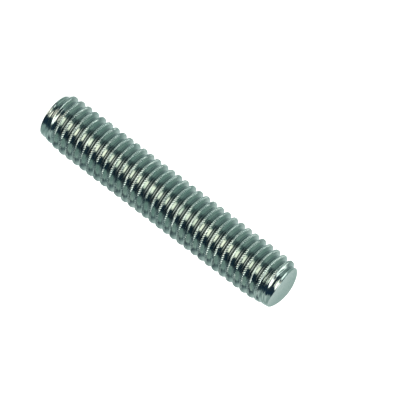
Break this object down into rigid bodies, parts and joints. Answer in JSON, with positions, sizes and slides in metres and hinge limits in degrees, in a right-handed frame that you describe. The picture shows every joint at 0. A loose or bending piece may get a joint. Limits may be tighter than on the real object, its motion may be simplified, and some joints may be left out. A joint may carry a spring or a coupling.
{
  "type": "threaded rod",
  "caption": "Short straight steel rod with a full-length right-hand metric thread, one end square and one sheared.",
  "frame": {"origin": "middle of the lower end face", "axes": "+Z along the rod's axis, up to the end face that the picture shows; -Y is the side of that face that was left highest, and the side that the picture is taken from"},
  "size_m": [0.006, 0.006, 0.033],
  "materials": {
    "zinc_plated_steel": "bright zinc plating over rolled steel, slightly green-grey, with fine rolling marks along the thread"
  },
  "bodies": {
    "root": {"threaded_rod": "zinc_plated_steel"}
  },
  "joints": []
}
